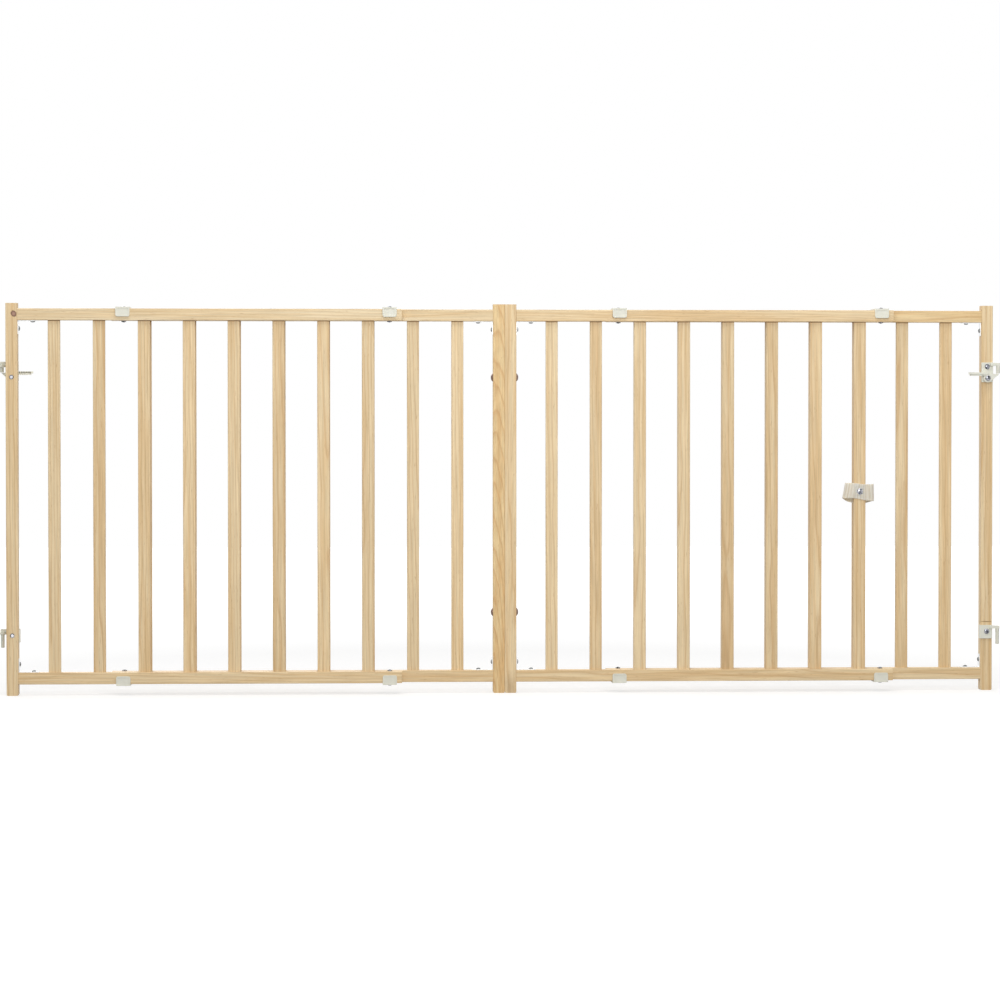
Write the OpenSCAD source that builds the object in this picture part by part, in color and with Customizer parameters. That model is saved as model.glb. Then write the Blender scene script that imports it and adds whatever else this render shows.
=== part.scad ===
// Extra-wide wooden baby gate that swings on two pins and slides to fit its opening.
// Four slatted panels stand in three planes. Each outer panel slides along one of the
// two centre panels, whose posts are bolted together. Clips hold each sliding pair.
// Gate coordinates: X runs along the gate from the hinge post's outer face, Y runs back
// from the front panel's face, Z is up from the post bottoms. Everything is then moved
// so that the origin is the middle of the lower wall eye's mounting face.

/* [Posts and rails] */
// Side of the square bar that posts and rails are cut from
bar_s = 20.6; // [18:0.1:26]
// Radius of the eased long edges of posts, rails and slats
arris_r = 1.2; // [0.5:0.1:2.5]
// Height of every post
post_h = 686; // [620:1:860]
// Radius of the two rounded corners at the foot of a post
post_foot_r = 3; // [1:0.5:8]
// Length of each rail from its post to its free end
rail_len = 670; // [560:1:800]
// Height of the bottom rails' underside above the post bottoms
rail_low = 19.8; // [8:0.1:40]
// Distance from the top of the top rails to the post tops
rail_drop = 9.2; // [6:0.1:30]
// Gap between panels that slide past each other
slide_gap = 0.8; // [0.4:0.1:2]

/* [Slats] */
// Number of slats in each panel
slat_count = 8; // [7:1:9]
// Number of slats of a sliding pair that stand one behind the other
slats_shared = 6; // [5:1:6]
// Width of a slat
slat_w = 21.2; // [16:0.1:28]
// Thickness of a slat
slat_t = 10; // [7:0.1:14]
// Gap between a post and its first slat
slat_first = 52.2; // [46:0.1:70]
// Length of rail past the last slat
slat_tail = 48.7; // [44:0.1:60]
// Depth of the mortise that each slat end sits in
slat_seat = 8; // [4:0.5:12]
// Gap between a slat and the walls of its mortise
slat_fit = 0.3; // [0.05:0.05:0.4]
// Distance that the rear slat of a shared pair stands out of line
stagger_gap = 1.2; // [0:0.1:4]

/* [Sliding clips] */
// Width of a clip along the rail
clip_w = 24.8; // [18:0.1:32]
// Wall thickness of a clip
clip_wall = 2.6; // [2:0.1:5]
// How far a clip's flaps reach down over the rails
clip_flap = 14; // [8:0.5:18]
// Radius of the lower corners of a flap
clip_corner_r = 3.5; // [1:0.5:5]
// Width of the rim around the sunk panel in each flap
clip_rim = 2.4; // [1.5:0.1:4]
// Depth of the sunk panel in each flap
clip_sunk = 0.8; // [0.2:0.1:1.2]
// Gap between a clip's flaps and the rails
clip_fit = 0.9; // [0.3:0.1:1]
// Height of the pad that keeps a clip off the sliding rail
clip_lift = 0.3; // [0.3:0.1:1]
// Distance from a rail's free end to its clip
clip_set = 9; // [2:0.5:14]
// Radius of a clip bolt's shank
clip_bolt_r = 2; // [1.5:0.1:3]
// Radius of a clip bolt's domed head
clip_head_r = 4.2; // [3.4:0.1:6]
// Height of a clip bolt's domed head
clip_head_h = 2.2; // [1.5:0.1:4]
// Distance across the flats of a clip nut
clip_nut_flats = 7.4; // [6.8:0.1:10]
// Height of a clip nut
clip_nut_h = 2; // [1.5:0.1:4]
// Length of bolt that shows past a clip nut
clip_bolt_end = 0.8; // [0.2:0.1:3]

/* [Corner braces] */
// Thickness of the brace's strip
brace_t = 1.6; // [1.2:0.1:3]
// Width of the brace's strip
brace_w = 12; // [10:0.5:16]
// Length of the leg along the rail
brace_rail_leg = 35; // [31:0.5:44]
// Length of the leg along the post
brace_post_leg = 24; // [20:0.5:40]
// Distance from the post to the rail screw
brace_rail_hole = 26; // [20:0.5:26]
// Distance from the rail to the post screw
brace_post_hole = 14.5; // [11:0.5:15]
// Radius of a brace screw's shank
brace_screw_r = 1.8; // [1.2:0.1:2.4]
// Length of brace screw that is in the wood
brace_screw_len = 13; // [8:0.5:16]
// Radius of a brace screw's pan head
brace_head_r = 4; // [3:0.1:5]
// Height of a brace screw's pan head
brace_head_h = 2.4; // [1.5:0.1:4]

/* [Centre bolts] */
// Distance from the post tops down to the upper bolt
centre_bolt_drop = 128.5; // [90:0.5:250]
// Height of the lower bolt above the post bottoms
centre_bolt_low = 143; // [80:0.5:300]
// Radius of the bolt's shank
centre_bolt_r = 3; // [2:0.1:4]
// Radius of the bolt's head and of its cap nut's head
centre_head_r = 7.2; // [6:0.1:9]
// Height of both heads
centre_head_h = 4; // [2:0.1:6]
// Height of the straight rim around both domed heads
centre_head_rim = 0.8; // [0.4:0.1:1.6]
// Radius of the cap nut's barrel
centre_barrel_r = 4.5; // [4.2:0.1:6]
// Length of the cap nut's barrel
centre_barrel_len = 14; // [8:0.5:18]
// Distance across the flats of the hexagon key socket
key_flats = 5; // [3:0.1:6]
// Depth of the hexagon key socket
key_depth = 2.4; // [1:0.1:3]

/* [Pin brackets] */
// Distance from a post's outer face to the pin's axis
pin_out = 8.8; // [8.4:0.1:14]
// Radius of a pin where it bears in its eye
pin_r = 3.5; // [2.5:0.1:3.8]
// Thickness of the bracket plates on the posts
plate_t = 3; // [2:0.1:4]
// Thickness of the arms that carry the pins
arm_t = 5.2; // [4:0.1:8]
// Gap between an arm's root and the screw heads beside it
arm_to_head = 0.6; // [0.4:0.1:1]
// Radius of the bracket plates' corners
plate_corner_r = 1; // [0.5:0.1:3]
// Distance from the post tops down to the upper arm's underside
upper_arm_drop = 107.2; // [95:0.1:130]
// Distance from the upper arm's underside down to the pin's end
upper_pin_len = 13.4; // [12:0.1:15]
// Height of the upper bracket's plate
upper_plate_h = 35; // [33:0.5:50]
// Distance from the upper arm's top to the plate's top
plate_rise = 1; // [0:0.1:4]
// Distance from the upper arm's underside down to the wood screw
upper_screw_drop = 1.2; // [0:0.1:2]
// Height of the lower arm's underside above the post bottoms
lower_arm_z = 110.4; // [80:0.1:160]
// Length of the lower pin's thick collar
collar_len = 5.6; // [5:0.1:8]
// Distance from the lower arm's underside down to the pin's tip
lower_pin_len = 27.6; // [20:0.1:40]
// Radius of the lower pin below its collar
stem_r = 3.2; // [2:0.1:3.2]
// Chamfer around the lower pin's tip
stem_bevel = 0.8; // [0.3:0.1:1.5]
// Height of the lower bracket's plate
lower_plate_h = 24; // [20:0.5:34]
// Distance from the lower arm's underside down to its bolt
lower_bolt_drop = 5; // [3:0.1:8]
// Thickness of the lip that wraps the post's inner side
lip_t = 1.7; // [1:0.1:3]
// Depth of the lip along the post's inner side
lip_depth = 8; // [4:0.5:16]
// Radius of a bracket bolt's shank
bracket_bolt_r = 2.5; // [1.5:0.1:3]
// Radius of a bracket bolt's or screw's head
bracket_head_r = 4.6; // [3.6:0.1:5.2]
// Height of a bracket bolt's or screw's head
bracket_head_h = 2.6; // [1.5:0.1:4]
// Gap between a bolt and its hole in wood or plastic
bolt_fit = 0.1; // [0.05:0.05:0.4]
// Radius of the sleeve nut on a bracket bolt
sleeve_r = 3.8; // [3.6:0.1:5]
// Length of the sleeve nut
sleeve_len = 11; // [6:0.5:15]
// Height that the sleeve nut stands out of the post
sleeve_proud = 0.8; // [0:0.1:2]
// Radius of the bracket's wood screw
wood_screw_r = 2; // [1.5:0.1:2.5]
// Length of the bracket's wood screw that is in the post
wood_screw_len = 14; // [8:0.5:18]

/* [Lock lever] */
// Distance from the upper arm's underside down to the lever's pivot
lever_drop = 21.9; // [21.5:0.1:26]
// Thickness of the lever
lever_t = 4.5; // [3:0.1:6]
// Radius of the lever's hub
lever_hub_r = 7.6; // [7:0.1:9]
// Gap between the pin's end and the tongue beneath it
tongue_gap = 0.7; // [0.4:0.1:2]
// How far the tongue reaches under the pin
tongue_reach = 4; // [2:0.1:6]
// Thickness of the tongue's tip
tongue_h = 1; // [0.8:0.1:2]
// Height of the lever's handle
handle_h = 6.2; // [5.8:0.1:8]
// Distance from the tongue's top up to the handle's top
handle_rise = 2.6; // [1:0.1:4]
// Distance from the pivot to the end of the handle
handle_len = 34.8; // [30:0.1:40]
// Height of the ledge along the handle's top
ledge_h = 3.8; // [3:0.1:4]
// Distance that the ledge stands out from the handle's face
ledge_out = 1.5; // [0.5:0.1:3]
// Distance that the ledge reaches past the handle's end
ledge_over = 2.6; // [1:0.1:3]
// Height of the solid strip along the handle's foot
strip_h = 2.2; // [1.8:0.1:2.6]
// Length of the pocket at the handle's end
end_pocket_len = 9.8; // [6:0.1:11]
// Width of each of the other pockets in the handle's inner face
pocket_w = 2.4; // [1:0.1:2.8]
// Distance from one pocket to the next
pocket_pitch = 3.6; // [3.4:0.1:4]
// Wall left around and behind the pockets
pocket_wall = 0.8; // [0.8:0.1:1.2]
// Gap between the lever and its plate and bolt head
lever_gap = 0.3; // [0.2:0.05:0.6]
// Gap between the lever's bore and its bolt
pivot_fit = 0.1; // [0.03:0.01:0.1]

/* [Wall eyes] */
// Distance from the wall to the pins' axis
pin_to_wall = 32; // [30:0.5:60]
// Thickness of the tab that holds the pin
eye_t = 4; // [3:0.1:5]
// Wall of plastic around the pin
eye_wall = 3.5; // [2.5:0.1:4.5]
// Gap between the pin and its eye
pin_fit = 0.1; // [0.03:0.01:0.1]
// Gap between an eye and the arm that stands over it
eye_gap = 0.3; // [0.2:0.05:1]
// Width of the tab and its ribs at the wall
eye_root_w = 15.6; // [15.2:0.1:16]
// Width of the wall plate
wall_plate_w = 20; // [18:0.5:24]
// Height of the wall plate
wall_plate_h = 46; // [42:0.5:80]
// Thickness of the wall plate
wall_plate_t = 3.5; // [2.5:0.1:4.5]
// Distance between the wall plate's screw holes
wall_hole_span = 30; // [28:0.5:31]
// Radius of the wall plate's screw holes
wall_hole_r = 2.3; // [1.5:0.1:2.6]
// Thickness of the ribs under the tab
rib_t = 2.4; // [1.5:0.1:3]
// Length of the ribs under the tab
rib_len = 14; // [8:0.5:20]

/* [Strap] */
// Width of the strap's webbing
strap_w = 27.2; // [18:0.1:40]
// Thickness of the webbing
strap_t = 1.6; // [1:0.1:2.5]
// Width of the strap's loop
loop_w = 55; // [44:0.5:70]
// Depth of the strap's loop behind its slat
loop_back = 3.2; // [2:0.1:5]
// Height of the strap's middle above the post bottoms
strap_z = 355.5; // [200:0.5:500]
// Angle that the strap leans to one side on its screw
strap_lean = 5; // [0:1:10]
// Radius of the strap screw's head
strap_head_r = 5.4; // [4:0.1:7]
// Height of the strap screw's head
strap_head_h = 3; // [2:0.1:4]
// Radius of the strap screw's shank
strap_screw_r = 2; // [1.5:0.1:2.5]
// Length of the strap screw that is in the slat
strap_screw_len = 8; // [4:0.5:9]

/* [Hidden] */
$fn = 48;
overcut = 1; // how far a cut runs past the face it opens
pocket_count = 3; // narrow pockets in each lever's handle
head_rim = 0.45; // share of a pan head's height that is its straight rim
head_slot = 0.3; // width of a pan head's cross recess as a share of the head's radius
web_low = 0.6; // how far down its hub's radius the tongue's web starts
web_foot = 0.2; // how far down its hub's radius the web leaves the post's outer face
web_side = 0.8; // how far out along its hub's radius the web starts

// The panels' planes, and where things are along a panel from its post's outer face
plane_step = bar_s + slide_gap;
rail_end = bar_s + rail_len;
top_rail_top = post_h - rail_drop;
slat_pitch = (rail_len - slat_first - slat_w - slat_tail) / (slat_count - 1);
half_w = 2 * (bar_s + slat_first) + slat_w + stagger_gap
       + (2 * slat_count - 1 - slats_shared) * slat_pitch;
slat_span = top_rail_top - rail_low - 2 * bar_s;
clip_top = clip_lift + clip_wall;
clip_mid_x = rail_end - clip_set - clip_w / 2;
wood = "#E2C79C";
plastic = "#E6E4D8";
zinc = "#B9BCBE";
steel = "#9A9C9E";
bronze = "#5A4640";
webbing = "#DDD6C4";

// Each panel: its post's outer face, the way its rails run, its plane counted from the
// front, and the side on which its partner slides (1 behind it, -1 in front of it)
OUTER_LEFT = [0, 1, 0, 1];
CENTRE_LEFT = [half_w, -1, 1, -1];
CENTRE_RIGHT = [half_w, 1, 1, 1];
OUTER_RIGHT = [2 * half_w, -1, 2, -1];

// Heights on the pin brackets, above the post bottoms
upper_arm_z = post_h - upper_arm_drop;
arm_root = bar_s / 2 - bracket_head_r - arm_to_head;
upper_pin_end = upper_arm_z - upper_pin_len;
upper_plate_top = upper_arm_z + arm_t + plate_rise;
upper_screw_z = upper_arm_z - upper_screw_drop;
lever_z = upper_arm_z - lever_drop;
lower_plate_top = lower_arm_z + arm_t + plate_rise;
lower_bolt_z = lower_arm_z - lower_bolt_drop;
tongue_top = upper_pin_end - tongue_gap;
handle_top = tongue_top + handle_rise;
tongue_end = pin_out - pin_r + tongue_reach;
lever_face = plate_t + lever_gap;
lever_out = lever_face + lever_t + lever_gap;
pivot_x = -bar_s / 2;

// Where the gate stands in the part's own frame
eye_top_low = lower_arm_z - eye_gap;
eye_top_high = upper_arm_z - eye_gap;
gate_x = pin_to_wall + pin_out;
gate_y = -(bar_s + pin_r);
gate_z = -(eye_top_low - eye_t / 2);

// ---- Places ----

// Gate coordinates
module gate() {
    translate([gate_x, gate_y, gate_z]) children();
}

// Along a panel: X from its post's outer face towards its free end, Y back from its face
module in_panel(panel) {
    gate() translate([panel[0], panel[2] * plane_step, 0]) {
        if (panel[1] > 0) children();
        else mirror([1, 0, 0]) children();
    }
}

// Turns what is drawn for a partner behind the panel towards a partner in front of it
module towards_partner(panel) {
    if (panel[3] > 0) children();
    else translate([0, bar_s, 0]) mirror([0, 1, 0]) children();
}

// Z counts outwards from the outer face of a panel's top or bottom rail
module on_rail(top) {
    if (top) translate([0, 0, top_rail_top]) children();
    else translate([0, 0, rail_low]) mirror([0, 0, 1]) children();
}

// A post's hardware: X outwards from the post's outer face, Y away from the gate is minus
module at_hinge_side() {
    gate() translate([0, bar_s, 0]) rotate([0, 0, 180]) children();
}

module at_latch_side() {
    gate() translate([2 * half_w, 2 * plane_step, 0]) children();
}

// ---- Shared shapes ----

// A rectangle from the origin with all its corners rounded
module round_rect(w, h, r) {
    translate([r, 0]) square([w - 2 * r, h]);
    translate([0, r]) square([w, h - 2 * r]);
    for (x = [r, w - r], y = [r, h - r]) translate([x, y]) circle(r);
}

// An outline in X and Z, made into a plate of thickness t that lies on y = 0 and
// reaches towards the viewer
module plate_xz(t) {
    rotate([90, 0, 0]) linear_extrude(t) children();
}

// A head on the plane z = 0: a straight rim of height rim_h under a dome that ends at h
module domed_head(r, rim_h, h) {
    dome_h = h - rim_h;
    dome_r = (r * r + dome_h * dome_h) / (2 * dome_h);
    rotate_extrude() {
        square([r, rim_h]);
        intersection() {
            translate([0, rim_h]) square([r, dome_h]);
            translate([0, h - dome_r]) circle(dome_r);
        }
    }
}

// A pan head with a cross recess in its top
module pan_head(r, h) {
    rim_h = h * head_rim;
    slot_w = r * head_slot;
    difference() {
        domed_head(r, rim_h, h);
        for (turn = [0, 90]) rotate([0, 0, turn])
            translate([-r / 2, -slot_w / 2, rim_h]) cube([r, slot_w, h]);
    }
}

// ---- Panels ----

module post(panel) {
    color(wood) in_panel(panel) difference() {
        linear_extrude(post_h) round_rect(bar_s, bar_s, arris_r);
        for (side = [0, 1]) translate([side * bar_s, 0, 0]) mirror([side, 0, 0])
            foot_corner();
        for (top = [true, false]) on_rail(top) on_post_screw() pilot_hole();
    }
}

// What is cut away to round one corner at a post's foot
module foot_corner() {
    translate([0, bar_s + overcut, 0]) plate_xz(bar_s + 2 * overcut) difference() {
        translate([-overcut, -overcut]) square(post_foot_r + overcut);
        translate([post_foot_r, post_foot_r]) circle(post_foot_r);
    }
}

module rail(panel, top) {
    color(wood) in_panel(panel) on_rail(top) difference() {
        translate([bar_s, 0, -bar_s]) rotate([90, 0, 90])
            linear_extrude(rail_len) round_rect(bar_s, bar_s, arris_r);
        for (i = [0 : slat_count - 1])
            translate([slat_x(i) - slat_fit, (bar_s - slat_t) / 2 - slat_fit, -bar_s - overcut])
                linear_extrude(slat_seat + overcut)
                    round_rect(slat_w + 2 * slat_fit, slat_t + 2 * slat_fit, arris_r + slat_fit);
        on_rail_screw() pilot_hole();
        translate([clip_mid_x, bar_s / 2, -bar_s - overcut])
            cylinder(r = clip_bolt_r + bolt_fit, h = bar_s + 2 * overcut);
    }
}

function slat_x(i) = bar_s + slat_first + i * slat_pitch;

module slats(panel) {
    color(wood) in_panel(panel) for (i = [0 : slat_count - 1])
        translate([slat_x(i), (bar_s - slat_t) / 2, rail_low + bar_s - slat_seat])
            linear_extrude(slat_span + 2 * slat_seat) round_rect(slat_w, slat_t, arris_r);
}

// ---- Sliding clips ----

// A saddle over both rails of a sliding pair, bolted to its own panel's rail
module clip(panel, top) {
    inside = bar_s + plane_step + 2 * clip_fit;
    color(plastic) in_panel(panel) on_rail(top) towards_partner(panel)
        translate([clip_mid_x - clip_w / 2, 0, 0]) difference() {
            union() {
                translate([0, -clip_fit - clip_wall, 0])
                    cube([clip_w, inside + 2 * clip_wall, clip_top]);
                for (y = [-clip_fit, inside - clip_fit + clip_wall])
                    translate([0, y, 0]) plate_xz(clip_wall) clip_flap_outline();
            }
            translate([-overcut, bar_s + slide_gap / 2, -overcut])
                cube([clip_w + 2 * overcut, inside / 2, clip_lift + overcut]);
            translate([clip_w / 2, bar_s / 2, -overcut])
                cylinder(r = clip_bolt_r + bolt_fit, h = clip_top + 2 * overcut);
            for (y = [-clip_fit - clip_wall + clip_sunk, inside - clip_fit + clip_wall + overcut])
                translate([clip_rim, y, clip_rim - clip_flap]) plate_xz(clip_sunk + overcut)
                    square([clip_w - 2 * clip_rim, clip_flap + clip_top - 2 * clip_rim]);
        }
}

module clip_flap_outline() {
    translate([0, -clip_flap + clip_corner_r]) square([clip_w, clip_top + clip_flap - clip_corner_r]);
    translate([clip_corner_r, -clip_flap]) square([clip_w - 2 * clip_corner_r, clip_flap]);
    for (x = [clip_corner_r, clip_w - clip_corner_r])
        translate([x, -clip_flap + clip_corner_r]) circle(clip_corner_r);
}

module clip_bolt(panel) {
    bolt_len = clip_top + bar_s + clip_nut_h + clip_bolt_end;
    color(steel) for (top = [true, false])
        in_panel(panel) on_rail(top) translate([clip_mid_x, bar_s / 2, 0]) {
            translate([0, 0, clip_top]) pan_head(clip_head_r, clip_head_h);
            translate([0, 0, clip_top - bolt_len]) cylinder(r = clip_bolt_r, h = bolt_len);
        }
}

module clip_nut(panel) {
    color(steel) for (top = [true, false])
        in_panel(panel) on_rail(top) translate([clip_mid_x, bar_s / 2, -bar_s - clip_nut_h])
            difference() {
                cylinder(r = clip_nut_flats / 2 / cos(30), h = clip_nut_h, $fn = 6);
                translate([0, 0, -overcut]) cylinder(r = clip_bolt_r, h = clip_nut_h + 2 * overcut);
            }
}

// ---- Corner braces ----

module brace(panel, top) {
    color(zinc) in_panel(panel) on_rail(top)
        translate([bar_s, (bar_s - brace_w) / 2, -bar_s]) difference() {
            union() {
                translate([0, 0, -brace_t]) cube([brace_rail_leg, brace_w, brace_t]);
                translate([0, 0, -brace_post_leg]) cube([brace_t, brace_w, brace_post_leg]);
            }
            translate([brace_rail_hole, brace_w / 2, -brace_t - overcut])
                cylinder(r = brace_screw_r + bolt_fit, h = brace_t + 2 * overcut);
            translate([-overcut, brace_w / 2, -brace_post_hole]) rotate([0, 90, 0])
                cylinder(r = brace_screw_r + bolt_fit, h = brace_t + 2 * overcut);
        }
}

// Axis of the screw into the rail, pointing out of the wood, from the wood's surface
module on_rail_screw() {
    translate([bar_s + brace_rail_hole, bar_s / 2, -bar_s]) rotate([180, 0, 0]) children();
}

// Axis of the screw into the post, pointing out of the wood, from the wood's surface
module on_post_screw() {
    translate([bar_s, bar_s / 2, -bar_s - brace_post_hole]) rotate([0, 90, 0]) children();
}

module pilot_hole() {
    translate([0, 0, -brace_screw_len]) cylinder(r = brace_screw_r, h = brace_screw_len + overcut);
}

module brace_screw() {
    translate([0, 0, -brace_screw_len])
        cylinder(r = brace_screw_r, h = brace_screw_len + brace_t);
    translate([0, 0, brace_t]) pan_head(brace_head_r, brace_head_h);
}

module brace_screws(panel) {
    color(zinc) for (top = [true, false]) in_panel(panel) on_rail(top) {
        on_rail_screw() brace_screw();
        on_post_screw() brace_screw();
    }
}

// ---- Centre bolts ----

// The axis of each bolt, which runs along X through both centre posts
module on_centre_bolts() {
    for (z = [post_h - centre_bolt_drop, centre_bolt_low])
        gate() translate([half_w, plane_step + bar_s / 2, z]) rotate([0, 90, 0]) children();
}

// A domed head with a hexagon socket in its top
module centre_head() {
    difference() {
        domed_head(centre_head_r, centre_head_rim, centre_head_h);
        translate([0, 0, centre_head_h - key_depth])
            cylinder(r = key_flats / 2 / cos(30), h = key_depth + overcut, $fn = 6);
    }
}

module centre_bolts() {
    color(bronze) on_centre_bolts() {
        translate([0, 0, -bar_s]) mirror([0, 0, 1]) centre_head();
        translate([0, 0, -bar_s]) cylinder(r = centre_bolt_r, h = 2 * bar_s - overcut);
    }
}

module centre_cap_nuts() {
    color(bronze) on_centre_bolts() {
        translate([0, 0, bar_s]) centre_head();
        translate([0, 0, bar_s - centre_barrel_len]) difference() {
            cylinder(r = centre_barrel_r, h = centre_barrel_len);
            translate([0, 0, -overcut]) cylinder(r = centre_bolt_r, h = centre_barrel_len);
        }
    }
}

// What the bolts and the cap nuts' barrels need in the posts
module centre_bolt_holes() {
    on_centre_bolts() {
        translate([0, 0, -bar_s - overcut])
            cylinder(r = centre_bolt_r + bolt_fit, h = 2 * bar_s);
        translate([0, 0, bar_s - centre_barrel_len - bolt_fit])
            cylinder(r = centre_barrel_r + bolt_fit, h = centre_barrel_len + bolt_fit + overcut);
    }
}

module centre_post(panel) {
    difference() {
        post(panel);
        centre_bolt_holes();
    }
}

// ---- Pin brackets, bolts and lock levers, the same on both outer posts ----

module pin_at(z) {
    translate([pin_out, -pin_r, z]) children();
}

// A square arm whose upper outer corner is rounded
module bracket_arm(z) {
    reach = arm_root + pin_out + pin_r;
    translate([-arm_root, 0, z]) plate_xz(2 * pin_r) {
        square([reach - plate_corner_r, arm_t]);
        square([reach, arm_t - plate_corner_r]);
        translate([reach - plate_corner_r, arm_t - plate_corner_r]) circle(plate_corner_r);
    }
}

module bracket_plate(top, h) {
    translate([-bar_s, 0, top - h]) plate_xz(plate_t) round_rect(bar_s, h, plate_corner_r);
}

module upper_bracket() {
    color(plastic) difference() {
        union() {
            bracket_plate(upper_plate_top, upper_plate_h);
            bracket_arm(upper_arm_z);
            pin_at(upper_pin_end) cylinder(r = pin_r, h = upper_pin_len);
        }
        on_post_bore(lever_z) hole(bracket_bolt_r + bolt_fit);
        on_post_bore(upper_screw_z) hole(wood_screw_r + bolt_fit);
    }
}

module lower_bracket() {
    tip = lower_arm_z - lower_pin_len;
    color(plastic) difference() {
        union() {
            bracket_plate(lower_plate_top, lower_plate_h);
            bracket_arm(lower_arm_z);
            translate([-bar_s - lip_t, -plate_t, lower_plate_top - lower_plate_h])
                cube([lip_t + plate_t, plate_t, lower_plate_h]);
            translate([-bar_s - lip_t, -plate_t, lower_plate_top - lower_plate_h])
                cube([lip_t, plate_t + lip_depth, lower_plate_h]);
            pin_at(lower_arm_z - collar_len) cylinder(r = pin_r, h = collar_len);
            pin_at(tip + stem_bevel)
                cylinder(r = stem_r, h = lower_pin_len - collar_len - stem_bevel);
            pin_at(tip) cylinder(r1 = stem_r - stem_bevel, r2 = stem_r, h = stem_bevel);
        }
        on_post_bore(lower_bolt_z) hole(bracket_bolt_r + bolt_fit);
    }
}

// The axis of a bolt or screw through the middle of the post, pointing away from the gate
module on_post_bore(z) {
    translate([pivot_x, 0, z]) rotate([90, 0, 0]) children();
}

// A hole through a bracket's plate
module hole(r) {
    translate([0, 0, -overcut]) cylinder(r = r, h = lever_out + 2 * overcut);
}

// A bolt whose head stands at the height reach above the post's face
module bracket_bolt(reach) {
    translate([0, 0, -bar_s]) cylinder(r = bracket_bolt_r, h = bar_s + reach);
    translate([0, 0, reach]) pan_head(bracket_head_r, bracket_head_h);
}

module bracket_bolts() {
    color(steel) {
        on_post_bore(lever_z) bracket_bolt(lever_out);
        on_post_bore(lower_bolt_z) bracket_bolt(plate_t);
    }
}

module sleeve_nuts() {
    color(steel) for (z = [lever_z, lower_bolt_z]) on_post_bore(z)
        translate([0, 0, -bar_s - sleeve_proud]) difference() {
            cylinder(r = sleeve_r, h = sleeve_len + sleeve_proud);
            translate([0, 0, -overcut])
                cylinder(r = bracket_bolt_r, h = sleeve_len + sleeve_proud + 2 * overcut);
        }
}

module wood_screw() {
    color(steel) on_post_bore(upper_screw_z) {
        translate([0, 0, -wood_screw_len]) cylinder(r = wood_screw_r, h = wood_screw_len + plate_t);
        translate([0, 0, plate_t]) pan_head(bracket_head_r, bracket_head_h);
    }
}

// What the bolts, sleeve nuts and wood screw need in an outer post
module hardware_holes() {
    for (z = [lever_z, lower_bolt_z]) on_post_bore(z) {
        translate([0, 0, -bar_s - overcut])
            cylinder(r = bracket_bolt_r + bolt_fit, h = bar_s + 2 * overcut);
        translate([0, 0, -bar_s - overcut])
            cylinder(r = sleeve_r + bolt_fit, h = sleeve_len + bolt_fit + overcut);
    }
    on_post_bore(upper_screw_z) translate([0, 0, -wood_screw_len])
        cylinder(r = wood_screw_r, h = wood_screw_len + overcut);
}

module lock_lever() {
    body_end = pivot_x - handle_len + ledge_over;
    color(plastic) translate([0, -lever_face, 0]) difference() {
        union() {
            plate_xz(lever_t) translate([pivot_x, lever_z]) circle(lever_hub_r);
            plate_xz(lever_t) translate([body_end, handle_top - handle_h])
                round_rect(handle_len - ledge_over + plate_corner_r, handle_h, plate_corner_r);
            plate_xz(lever_t) tongue_outline();
            translate([pivot_x - handle_len, -lever_t - ledge_out, handle_top - ledge_h])
                cube([handle_len, ledge_out + pocket_wall, ledge_h]);
        }
        translate([body_end + pocket_wall, 0, 0]) handle_pocket(end_pocket_len);
        for (i = [1 : pocket_count])
            translate([body_end + pocket_wall + end_pocket_len + i * pocket_pitch - pocket_w, 0, 0])
                handle_pocket(pocket_w);
        translate([pivot_x, overcut, lever_z]) rotate([90, 0, 0])
            cylinder(r = bracket_bolt_r + pivot_fit, h = lever_t + 2 * overcut);
    }
}

// A pocket in the handle's inner face that is deeper behind the ledge
module handle_pocket(len) {
    pocket_low = handle_top - handle_h + strip_h;
    ledge_low = handle_top - ledge_h + pocket_wall;
    translate([0, pocket_wall - lever_t, pocket_low])
        cube([len, lever_t, handle_top - pocket_wall - pocket_low]);
    translate([0, pocket_wall - lever_t - ledge_out, ledge_low])
        cube([len, lever_t + ledge_out, handle_top - pocket_wall - ledge_low]);
}

// The tongue that closes the gap under the pin, and tapers from the hub to its tip
module tongue_outline() {
    web_z = lever_z - lever_hub_r * web_low;
    polygon([[pivot_x, tongue_top], [tongue_end, tongue_top],
        [tongue_end, tongue_top - tongue_h], [0, lever_z - lever_hub_r * web_foot],
        [pivot_x + lever_hub_r * web_side, web_z], [pivot_x, web_z]]);
}

module outer_left_post() {
    difference() {
        post(OUTER_LEFT);
        at_hinge_side() hardware_holes();
    }
}

module outer_right_post() {
    difference() {
        post(OUTER_RIGHT);
        at_latch_side() hardware_holes();
    }
}

// ---- Wall eyes ----

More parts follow.
